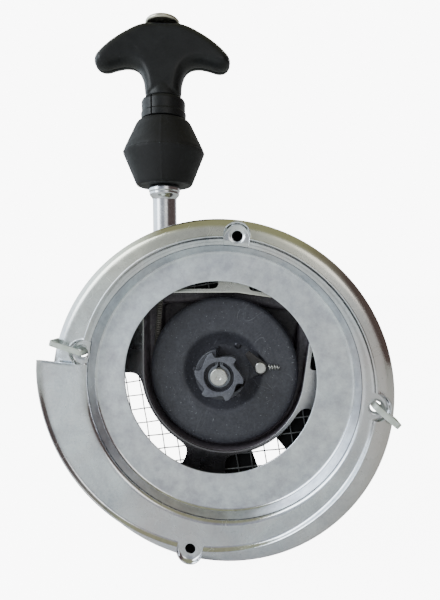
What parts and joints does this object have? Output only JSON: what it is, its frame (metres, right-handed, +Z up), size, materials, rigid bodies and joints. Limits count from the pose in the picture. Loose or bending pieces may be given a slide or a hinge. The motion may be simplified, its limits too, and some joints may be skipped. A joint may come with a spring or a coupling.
{
  "type": "recoil starter",
  "caption": "Recoil starter: a steel volute plate and cowl carry a D-shaped housing with a sprung rope pulley, drive star and pawl, a guide tube with a rubber bumper and a T-handle.",
  "frame": {"origin": "where the pulley's axis meets the engine's mounting face, which is the engine side of the volute plate's flange", "axes": "+Z up along the guide tube towards the handle, +Y away from the engine along the pulley's axis, +X to the right seen from the engine"},
  "size_m": [0.2913, 0.095, 0.4633],
  "materials": {
    "zinc_sheet": "bright zinc-plated pressed sheet",
    "zinc_tube": "bright zinc-plated tube",
    "zinc_hardware": "yellowish zinc plate",
    "wire": "dull galvanised wire",
    "dark_paint": "satin black paint",
    "dark_steel": "satin dark grey phosphate",
    "bright_steel": "turned steel",
    "spring_steel": "oiled spring steel",
    "brass": "plain",
    "rubber": "matt black rubber",
    "black_plastic": "moulded black plastic",
    "nylon": "milky nylon",
    "rope": "braided cord"
  },
  "bodies": {
    "base": {"volute_plate": "zinc_sheet", "cowl": "zinc_sheet", "starter_housing": "dark_paint", "screen_left": "wire", "screen_bottom": "wire", "screen_right": "wire", "screen_top_right": "wire", "screen_top_left": "wire", "axle": "bright_steel", "axle_washer": "zinc_hardware", "axle_nut": "zinc_hardware", "circlip": "spring_steel", "thrust_washer": "brass", "recoil_spring": "spring_steel", "spring_cup": "zinc_hardware", "guide_tube": "zinc_tube", "rope_guide_bush": "brass", "rubber_bumper": "rubber", "cable_tie_right": "nylon", "cable_tie_left": "nylon", "rope_lead": "rope", "rope_run": "rope"},
    "pulley": {"pulley_front": "dark_steel", "pulley_drum": "dark_steel", "rope_coil": "rope", "hub_bush": "dark_steel", "ratchet_star": "dark_steel", "pawl_pin": "bright_steel", "pawl_spring": "bright_steel", "pulley_rivet_1": "zinc_hardware", "pulley_rivet_2": "zinc_hardware", "pulley_rivet_3": "zinc_hardware"},
    "pawl_arm": {"pawl": "dark_steel"},
    "grip": {"handle": "black_plastic", "handle_cap": "zinc_hardware", "handle_collar": "black_plastic", "rope_knot": "rope", "knot_washer": "zinc_hardware", "rope_tail": "rope"}
  },
  "joints": [
    {"name": "handle_pull", "type": "slide", "parent": "base", "child": "grip", "axis": [0, 0, 1], "range_m": [0, 0.9], "stiffness_N_per_m": 40, "springref_m": -0.5, "deforming": ["rope_run"]},
    {"name": "pulley_spin", "type": "hinge", "parent": "base", "child": "pulley", "pos_m": [0, 0.053, 0], "axis": [0, 1, 0], "range_deg": [0, 813]},
    {"name": "pawl_swing", "type": "hinge", "parent": "pulley", "child": "pawl_arm", "pos_m": [0.0335, 0.0393, 0.0045], "axis": [0, 1, 0], "range_deg": [0, 30], "stiffness_Nm_per_rad": 0.02, "springref_deg": -17.19}
  ],
  "couplings": [
    {"joint": "pulley_spin", "follows": "handle_pull", "rad_per_m": 15.748}
  ]
}
